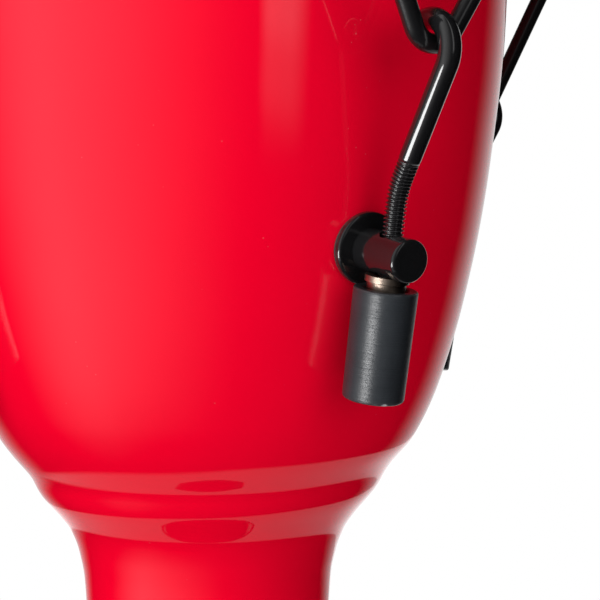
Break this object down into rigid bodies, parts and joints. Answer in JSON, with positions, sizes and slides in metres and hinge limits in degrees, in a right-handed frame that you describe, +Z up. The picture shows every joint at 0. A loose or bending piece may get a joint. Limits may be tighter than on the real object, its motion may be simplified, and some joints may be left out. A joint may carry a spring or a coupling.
{
  "type": "djembe",
  "caption": "Goblet-shaped hand drum with a glossy moulded shell, a flat skin head and hook-and-lug mechanical tuning.",
  "frame": {"origin": "centre of the foot, on the surface the drum stands on", "axes": "+Z up the drum's axis to the head; -Y through the first tuning lug"},
  "size_m": [0.3378, 0.3378, 0.5512],
  "materials": {
    "shell_gloss": "high-gloss bright red gel coat over fibreglass",
    "black_gloss": "black gloss powder coat",
    "black_satin": "black satin coat on round steel bar",
    "head_skin": "natural drum skin, cream, fine grain",
    "rubber_black": "moulded black rubber",
    "boot_rubber": "charcoal rubber, worn paler at the rim",
    "bright_steel": "zinc-plated steel",
    "warm_steel": "warm grey-brown plated steel, slightly worn"
  },
  "bodies": {
    "drum": {"shell_stem": "shell_gloss", "shell_bowl": "shell_gloss", "foot_ring": "rubber_black", "head_skin": "head_skin", "skin_collar": "head_skin", "lug_gaskets": "rubber_black", "backing_washers": "bright_steel", "lug_screws": "bright_steel", "thrust_washers": "warm_steel", "lug_1": "black_gloss", "lug_2": "black_gloss", "lug_3": "black_gloss", "lug_4": "black_gloss"},
    "hoop": {"skin_tuck": "head_skin", "flesh_hoop": "bright_steel", "counter_hoop": "black_gloss", "hoop_ears": "black_gloss", "v_rod_1": "black_satin", "v_rod_2": "black_satin", "v_rod_3": "black_satin", "v_rod_4": "black_satin"},
    "hook_1": {"hook_rod_1": "black_gloss"},
    "nut_1": {"tuning_nut_1": "warm_steel", "nut_boot_1": "boot_rubber"},
    "hook_2": {"hook_rod_2": "black_gloss"},
    "nut_2": {"tuning_nut_2": "warm_steel", "nut_boot_2": "boot_rubber"},
    "hook_3": {"hook_rod_3": "black_gloss"},
    "nut_3": {"tuning_nut_3": "warm_steel", "nut_boot_3": "boot_rubber"},
    "hook_4": {"hook_rod_4": "black_gloss"},
    "nut_4": {"tuning_nut_4": "warm_steel", "nut_boot_4": "boot_rubber"}
  },
  "joints": [
    {"name": "nut_turn_1", "type": "hinge", "parent": "drum", "child": "nut_1", "pos_m": [0, -0.12775, 0.375], "axis": [0, -0.1922, 0.9814], "range_deg": [-1080, 1080]},
    {"name": "hook_slide_1", "type": "slide", "parent": "drum", "child": "hook_1", "axis": [0, -0.1922, 0.9814], "range_m": [-0.0043, 0.0043]},
    {"name": "nut_turn_2", "type": "hinge", "parent": "drum", "child": "nut_2", "pos_m": [0.12775, 0, 0.375], "axis": [0.1922, 0, 0.9814], "range_deg": [-1080, 1080]},
    {"name": "hook_slide_2", "type": "slide", "parent": "drum", "child": "hook_2", "axis": [0.1922, 0, 0.9814], "range_m": [-0.0043, 0.0043]},
    {"name": "nut_turn_3", "type": "hinge", "parent": "drum", "child": "nut_3", "pos_m": [0, 0.12775, 0.375], "axis": [0, 0.1922, 0.9814], "range_deg": [-1080, 1080]},
    {"name": "hook_slide_3", "type": "slide", "parent": "drum", "child": "hook_3", "axis": [0, 0.1922, 0.9814], "range_m": [-0.0043, 0.0043]},
    {"name": "nut_turn_4", "type": "hinge", "parent": "drum", "child": "nut_4", "pos_m": [-0.12775, 0, 0.375], "axis": [-0.1922, 0, 0.9814], "range_deg": [-1080, 1080]},
    {"name": "hook_slide_4", "type": "slide", "parent": "drum", "child": "hook_4", "axis": [-0.1922, 0, 0.9814], "range_m": [-0.0043, 0.0043]},
    {"name": "hoop_travel", "type": "slide", "parent": "drum", "child": "hoop", "axis": [0, 0, 1], "range_m": [-0.0041, 0.0041]}
  ],
  "couplings": [
    {"joint": "nut_turn_1", "follows": "hoop_travel", "rad_per_m": -4537.6},
    {"joint": "hook_slide_1", "follows": "hoop_travel", "ratio": 1.019},
    {"joint": "nut_turn_2", "follows": "hoop_travel", "rad_per_m": -4537.6},
    {"joint": "hook_slide_2", "follows": "hoop_travel", "ratio": 1.019},
    {"joint": "nut_turn_3", "follows": "hoop_travel", "rad_per_m": -4537.6},
    {"joint": "hook_slide_3", "follows": "hoop_travel", "ratio": 1.019},
    {"joint": "nut_turn_4", "follows": "hoop_travel", "rad_per_m": -4537.6},
    {"joint": "hook_slide_4", "follows": "hoop_travel", "ratio": 1.019}
  ]
}
